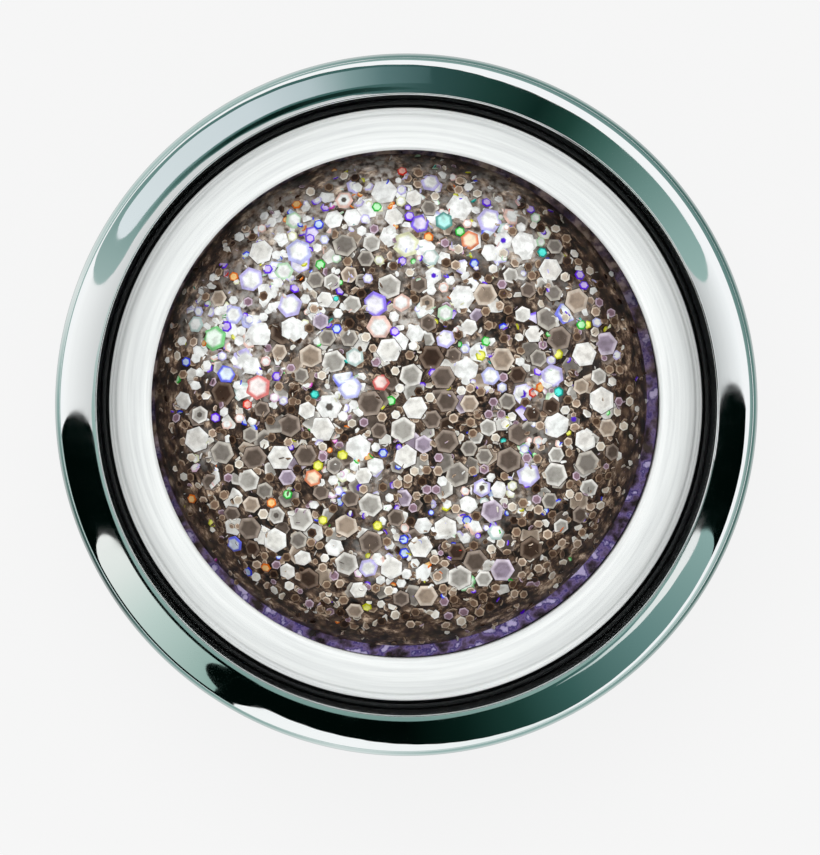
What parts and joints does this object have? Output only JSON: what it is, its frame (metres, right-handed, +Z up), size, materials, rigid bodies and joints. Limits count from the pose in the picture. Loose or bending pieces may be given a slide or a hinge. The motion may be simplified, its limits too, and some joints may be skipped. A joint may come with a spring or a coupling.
{
  "type": "nail gel pot",
  "caption": "Small round double-wall cosmetic pot of glitter nail gel, chrome jar and chrome screw lid with a clear window, standing closed.",
  "frame": {"origin": "centre of the underside, on the surface the pot stands on", "axes": "+Z up along the axis the lid screws about; +X and +Y lie in the underside and are otherwise free"},
  "size_m": [0.034, 0.034, 0.021],
  "materials": {
    "chrome": "bright plating on plastic",
    "label_paper": "plain matt paper",
    "white_plastic": "white moulded plastic, soft gloss",
    "glitter_gel": "wet glossy gel full of holographic hexagon glitter",
    "white_liner": "soft white liner with a turned surface",
    "black_plastic": "black moulded plastic",
    "clear_window": "clear polished window"
  },
  "bodies": {
    "jar": {"outer_jar": "chrome", "base_label": "label_paper", "inner_cup": "white_plastic", "gel": "glitter_gel"},
    "seal": {"sealing_ring": "white_liner"},
    "lid": {"lid_insert": "black_plastic", "lid_window": "clear_window", "lid_shell": "chrome"}
  },
  "joints": [
    {"name": "lid_rise", "type": "slide", "parent": "jar", "child": "seal", "axis": [0, 0, 1], "range_m": [0, 0.015]},
    {"name": "lid_turn", "type": "hinge", "parent": "seal", "child": "lid", "pos_m": [0, 0, 0.019], "axis": [0, 0, 1], "range_deg": [0, 1800]}
  ],
  "couplings": [
    {"joint": "lid_rise", "follows": "lid_turn", "m_per_rad": 0.00047746}
  ]
}
